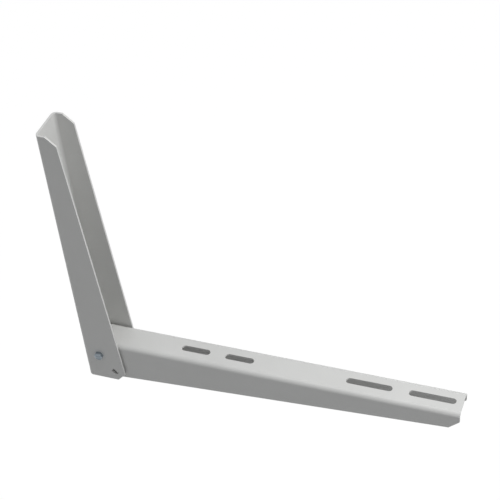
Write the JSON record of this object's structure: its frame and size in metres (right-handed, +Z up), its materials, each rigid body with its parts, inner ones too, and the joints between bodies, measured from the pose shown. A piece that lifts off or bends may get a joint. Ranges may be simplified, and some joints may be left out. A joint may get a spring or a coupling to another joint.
{
  "type": "air conditioner outdoor unit bracket",
  "caption": "Folding wall bracket of bent sheet steel: a slotted support arm pivots on a bolt in an upright channel that is fixed to the wall.",
  "frame": {"origin": "back face of the upright, at mid width, level with the top of the arm", "axes": "+X runs out from the wall along the arm, +Y across the bracket, +Z up"},
  "size_m": [0.466, 0.0639, 0.3677],
  "materials": {
    "powder_coat": "satin light grey powder coat",
    "zinc": "bright zinc plating",
    "spacer_nylon": "natural white nylon"
  },
  "bodies": {
    "upright": {"wall_upright": "powder_coat", "pivot_bolt": "zinc", "near_spacer_washer": "spacer_nylon", "far_spacer_washer": "spacer_nylon", "nut_washer": "zinc", "lock_nut": "zinc"},
    "arm": {"support_arm": "powder_coat"}
  },
  "joints": [
    {"name": "arm_fold", "type": "hinge", "parent": "upright", "child": "arm", "pos_m": [0.0205, 0, -0.0166], "axis": [0, -1, 0], "range_deg": [0, 90]}
  ]
}
